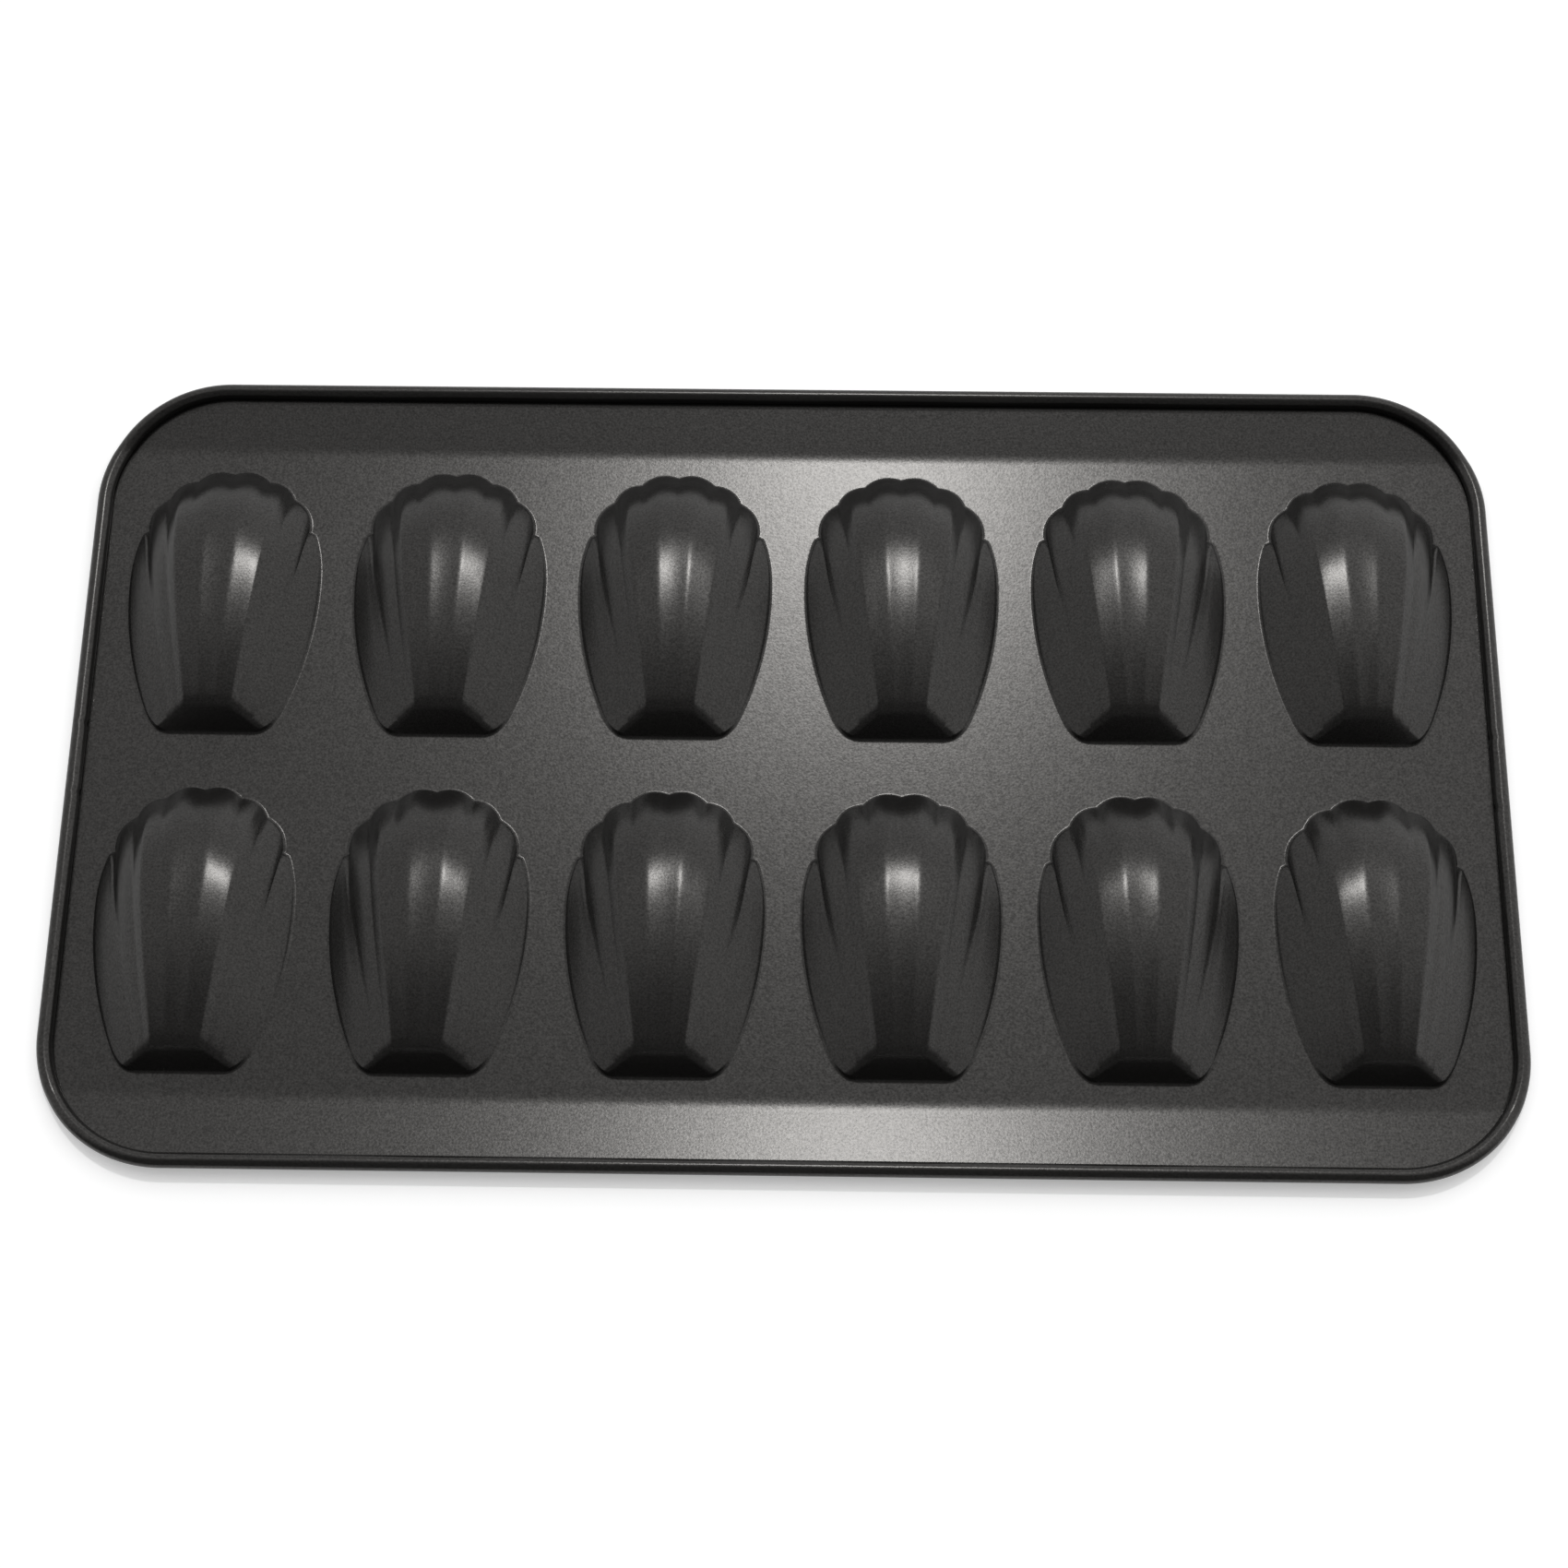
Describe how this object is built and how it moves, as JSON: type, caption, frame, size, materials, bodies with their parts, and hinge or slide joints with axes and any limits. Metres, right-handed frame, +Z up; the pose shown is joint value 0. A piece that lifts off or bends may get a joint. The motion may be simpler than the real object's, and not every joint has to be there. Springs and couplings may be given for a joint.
{
  "type": "madeleine pan",
  "caption": "Dark non-stick madeleine pan lying face down: a pressed steel sheet with two rows of fluted shell cups, tilted long edges and a rim rolled over a wire.",
  "frame": {"origin": "centre of the pan in plan, on the baking side of its flat sheet, on which it lies face down", "axes": "+X along the length of the pan, +Y towards the fan ends of the cups, +Z up from the baking side to the bottoms of the cups"},
  "size_m": [0.39, 0.2268, 0.0133],
  "materials": {
    "non_stick_steel": "satin dark grey non-stick coating with a fine pebbled grain",
    "wire_steel": "plain drawn steel wire, hidden in the rim"
  },
  "bodies": {
    "root": {"deck": "non_stick_steel", "back_strip": "non_stick_steel", "front_strip": "non_stick_steel", "rolled_rim": "non_stick_steel", "cup_back_1": "non_stick_steel", "cup_back_2": "non_stick_steel", "cup_back_3": "non_stick_steel", "cup_back_4": "non_stick_steel", "cup_back_5": "non_stick_steel", "cup_back_6": "non_stick_steel", "cup_front_1": "non_stick_steel", "cup_front_2": "non_stick_steel", "cup_front_3": "non_stick_steel", "cup_front_4": "non_stick_steel", "cup_front_5": "non_stick_steel", "cup_front_6": "non_stick_steel", "rim_wire": "wire_steel"}
  },
  "joints": []
}
